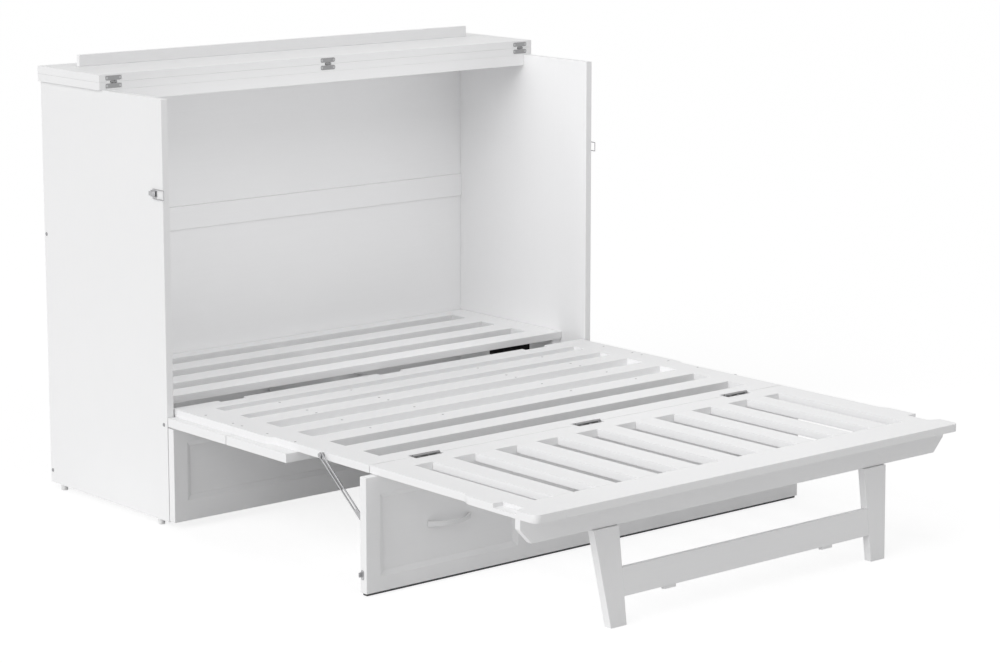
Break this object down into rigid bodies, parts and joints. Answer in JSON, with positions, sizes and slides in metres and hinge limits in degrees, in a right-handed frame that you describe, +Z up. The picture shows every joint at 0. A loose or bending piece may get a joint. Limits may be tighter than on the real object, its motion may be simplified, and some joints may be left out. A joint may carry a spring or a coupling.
{
  "type": "cabinet bed",
  "caption": "Low cabinet whose front unfolds into a slatted double bed on a hanging front panel and a folding leg frame, with a split folding lid",
  "frame": {"origin": "on the floor, under the middle of the open bed's bounding box", "axes": "+Z up, X along the cabinet, the cabinet stands at +Y and the open bed reaches out to -Y"},
  "size_m": [1.446, 1.94, 1.158],
  "materials": {
    "white_board": "satin white paint on board",
    "back_board": "white faced thin board",
    "white_pull": "white coated metal",
    "cap": "grey plastic",
    "glide_plastic": "pale plastic",
    "dark_strip": "matte black",
    "black_plastic": "matte black",
    "satin_metal": "satin zinc plate"
  },
  "bodies": {
    "cabinet": {"side_panel_left": "white_board", "side_panel_right": "white_board", "back_panels": "back_board", "back_rail": "white_board", "bottom_rear_rail": "white_board", "wall_rail": "white_board", "front_stretcher": "white_board", "side_cleats": "white_board", "centre_support": "white_board", "glides": "glide_plastic", "bolt_caps": "cap", "charging_unit": "black_plastic", "lower_front": "white_board", "lower_front_pulls": "white_pull", "lid_rear_board": "white_board", "lid_stretcher": "white_board", "lid_hinge_lower": "satin_metal", "head_deck_rails": "white_board", "head_deck_slats": "white_board", "lift_hinge_lower": "satin_metal", "latch_bases": "satin_metal"},
    "lid": {"lid_front_board": "white_board", "lid_batten": "white_board", "lid_hinge_upper": "satin_metal"},
    "seat_deck": {"seat_side_rails": "white_board", "seat_end_rails": "white_board", "seat_slats": "white_board", "seat_screws": "satin_metal", "front_row_3": "white_board", "front_row_2": "white_board", "seat_pulls": "white_pull", "lift_hinge_upper": "satin_metal", "seam_hinge_seat": "satin_metal", "panel_hinge_seat": "satin_metal", "stay_screws": "satin_metal"},
    "foot_deck": {"foot_side_rails": "white_board", "foot_end_rails": "white_board", "foot_slats": "white_board", "foot_beam": "white_board", "seam_hinge_foot": "satin_metal", "leg_hinge_beam": "satin_metal"},
    "hanging_front": {"front_row_1": "white_board", "panel_pulls": "white_pull", "floor_strip": "dark_strip", "keepers": "satin_metal", "panel_hinge_front": "satin_metal", "stay_brackets": "satin_metal"},
    "leg_frame": {"leg_left": "white_board", "leg_right": "white_board", "leg_stretcher": "white_board", "leg_stretcher_blocks": "white_board", "leg_hinge_leg": "satin_metal"},
    "bush_left": {"stay_bush_left": "satin_metal"},
    "bush_right": {"stay_bush_right": "satin_metal"},
    "stay_bar_left": {"stay_left": "satin_metal"},
    "stay_bar_right": {"stay_right": "satin_metal"},
    "lever_left": {"latch_lever_left": "satin_metal"},
    "lever_right": {"latch_lever_right": "satin_metal"},
    "bail_left": {"latch_bail_left": "satin_metal"},
    "bail_right": {"latch_bail_right": "satin_metal"}
  },
  "joints": [
    {"name": "deck_lift", "type": "hinge", "parent": "cabinet", "child": "seat_deck", "pos_m": [0, 0.413, 0.291], "axis": [-1, 0, 0], "range_deg": [0, 90]},
    {"name": "foot_fold", "type": "hinge", "parent": "seat_deck", "child": "foot_deck", "pos_m": [0, -0.372, 0.3045], "axis": [-1, 0, 0], "range_deg": [0, 180]},
    {"name": "front_fold", "type": "hinge", "parent": "seat_deck", "child": "hanging_front", "pos_m": [0, -0.3795, 0.2845], "axis": [1, 0, 0], "range_deg": [0, 90]},
    {"name": "leg_fold", "type": "hinge", "parent": "foot_deck", "child": "leg_frame", "pos_m": [0, -0.897, 0.226], "axis": [1, 0, 0], "range_deg": [0, 97.1]},
    {"name": "lid_fold", "type": "hinge", "parent": "cabinet", "child": "lid", "pos_m": [0, 0.675, 1.1081], "axis": [1, 0, 0], "range_deg": [0, 180]},
    {"name": "stay_turn_left", "type": "hinge", "parent": "seat_deck", "child": "bush_left", "pos_m": [0, -0.194, 0.296], "axis": [-1, 0, 0], "range_deg": [0, 38.2]},
    {"name": "stay_slide_left", "type": "slide", "parent": "bush_left", "child": "stay_bar_left", "axis": [0, 0.7868, 0.6172], "range_m": [0, 0.161]},
    {"name": "stay_turn_right", "type": "hinge", "parent": "seat_deck", "child": "bush_right", "pos_m": [0, -0.194, 0.296], "axis": [-1, 0, 0], "range_deg": [0, 38.2]},
    {"name": "stay_slide_right", "type": "slide", "parent": "bush_right", "child": "stay_bar_right", "axis": [0, 0.7868, 0.6172], "range_m": [0, 0.161]},
    {"name": "lever_turn_left", "type": "hinge", "parent": "cabinet", "child": "lever_left", "pos_m": [-0.7192, 0.44, 0.85], "axis": [0, 0, 1], "range_deg": [0, 150]},
    {"name": "bail_turn_left", "type": "hinge", "parent": "lever_left", "child": "bail_left", "pos_m": [-0.7192, 0.447, 0.85], "axis": [0, 0, -1], "range_deg": [0, 150.1]},
    {"name": "lever_turn_right", "type": "hinge", "parent": "cabinet", "child": "lever_right", "pos_m": [0.7192, 0.44, 0.85], "axis": [0, 0, -1], "range_deg": [0, 150]},
    {"name": "bail_turn_right", "type": "hinge", "parent": "lever_right", "child": "bail_right", "pos_m": [0.7192, 0.447, 0.85], "axis": [0, 0, 1], "range_deg": [0, 150.1]}
  ],
  "couplings": [
    {"joint": "stay_turn_left", "follows": "front_fold", "ratio": 0.42348},
    {"joint": "stay_slide_left", "follows": "front_fold", "m_per_rad": 0.10227},
    {"joint": "bail_turn_left", "follows": "lever_turn_left", "ratio": 1},
    {"joint": "stay_turn_right", "follows": "front_fold", "ratio": 0.42348},
    {"joint": "stay_slide_right", "follows": "front_fold", "m_per_rad": 0.10227},
    {"joint": "bail_turn_right", "follows": "lever_turn_right", "ratio": 1}
  ]
}
